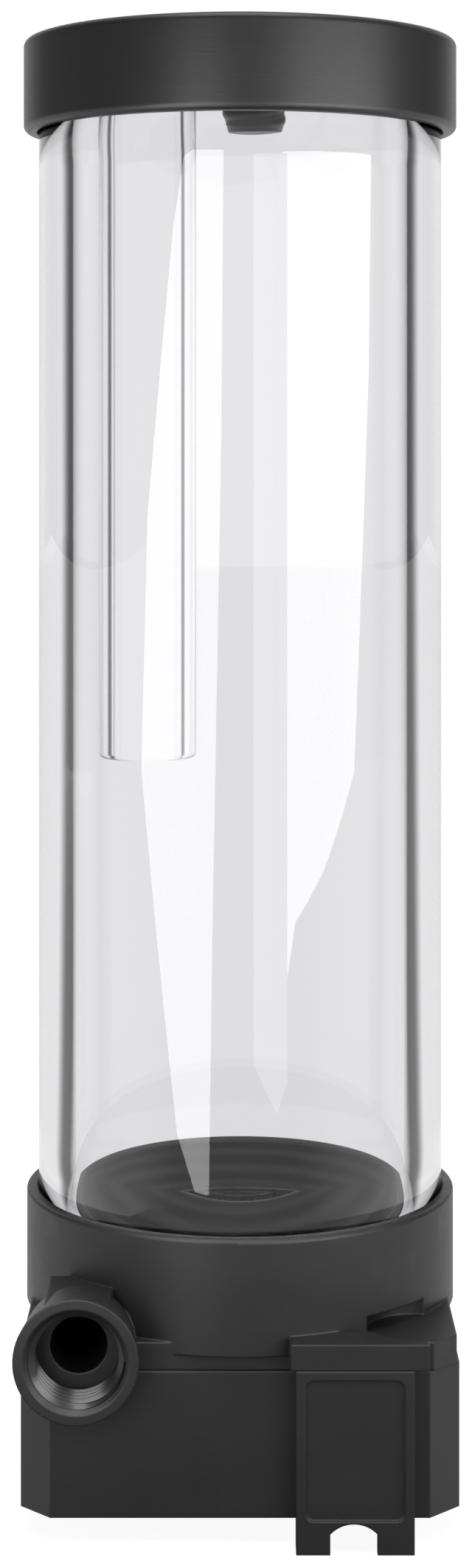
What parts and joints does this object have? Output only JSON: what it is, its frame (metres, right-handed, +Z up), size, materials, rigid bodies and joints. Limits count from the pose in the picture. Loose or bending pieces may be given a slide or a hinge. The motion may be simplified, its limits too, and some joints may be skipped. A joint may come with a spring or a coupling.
{
  "type": "coolant pump reservoir",
  "caption": "Clear tube coolant reservoir with a screw cap and drop tube, standing on a square black pump with a threaded side outlet and a forked cable cover.",
  "frame": {"origin": "centre of the motor housing's bottom face", "axes": "+Z up along the reservoir tube, -Y to the front where the outlet and the cable cover are, +X to the right seen from the front"},
  "size_m": [0.0644, 0.0687, 0.2127],
  "materials": {
    "clear_acrylic": "clear, polished, smooth",
    "black_acetal": "turned and satin polished",
    "black_nylon": "moulded, fine satin grain",
    "seal_rubber": "matt",
    "impeller_plastic": "moulded, satin",
    "ferrite": "ground ferrite",
    "carbon_bush": "carbon filled, satin",
    "ceramic": "ground and polished",
    "laminations": "stacked sheet, lightly varnished",
    "copper_wire": "enamelled winding wire",
    "board_laminate": "solder mask",
    "capacitor_can": "satin can",
    "chip_resin": "moulded resin",
    "header_plastic": "moulded natural nylon",
    "zinc_steel": "zinc plated"
  },
  "bodies": {
    "pump": {"reservoir_tube": "clear_acrylic", "tube_seal": "seal_rubber", "pump_top": "black_nylon", "housing_ring": "seal_rubber", "rotor_shaft": "ceramic", "thrust_washer": "ceramic", "isolation_can": "black_nylon", "stator_core": "laminations", "stator_coils": "copper_wire", "circuit_board": "board_laminate", "board_capacitors": "capacitor_can", "driver_chips": "chip_resin", "lead_header": "header_plastic", "cable_grommet": "seal_rubber", "motor_housing": "black_nylon", "bottom_cover": "black_nylon", "housing_screws": "zinc_steel", "cable_cover": "black_nylon"},
    "rotor": {"impeller": "impeller_plastic", "rotor_magnet": "ferrite", "rotor_bush": "carbon_bush"},
    "cap_seal_ring": {"cap_seal": "seal_rubber"},
    "cap": {"top_cap": "black_acetal", "drop_tube": "clear_acrylic"},
    "fill_seal_ring": {"fill_plug_ring": "seal_rubber"},
    "fill_screw": {"fill_plug": "black_acetal"},
    "bleed_seal_ring": {"bleed_screw_ring": "seal_rubber"},
    "bleed": {"bleed_screw": "black_acetal"}
  },
  "joints": [
    {"name": "rotor_spin", "type": "hinge", "parent": "pump", "child": "rotor", "pos_m": [0, 0, 0.012], "axis": [0, 0, 1], "continuous": true},
    {"name": "cap_lift", "type": "slide", "parent": "pump", "child": "cap_seal_ring", "axis": [0, 0, 1], "range_m": [0, 0.008]},
    {"name": "cap_turn", "type": "hinge", "parent": "cap_seal_ring", "child": "cap", "pos_m": [0, 0, 0.2], "axis": [0, 0, 1], "range_deg": [0, 1440]},
    {"name": "fill_lift", "type": "slide", "parent": "cap", "child": "fill_seal_ring", "axis": [0, 0, 1], "range_m": [0, 0.0121]},
    {"name": "fill_turn", "type": "hinge", "parent": "fill_seal_ring", "child": "fill_screw", "pos_m": [0.01504, 0.00753, 0.205], "axis": [0, 0, 1], "range_deg": [0, 3240]},
    {"name": "bleed_lift", "type": "slide", "parent": "cap", "child": "bleed_seal_ring", "axis": [0, 0, 1], "range_m": [0, 0.0037]},
    {"name": "bleed_turn", "type": "hinge", "parent": "bleed_seal_ring", "child": "bleed", "pos_m": [0.0022, -0.004, 0.205], "axis": [0, 0, 1], "range_deg": [0, 1440]}
  ],
  "couplings": [
    {"joint": "cap_lift", "follows": "cap_turn", "m_per_rad": 0.0003183},
    {"joint": "fill_lift", "follows": "fill_turn", "m_per_rad": 0.00021279},
    {"joint": "bleed_lift", "follows": "bleed_turn", "m_per_rad": 0.00014435}
  ]
}
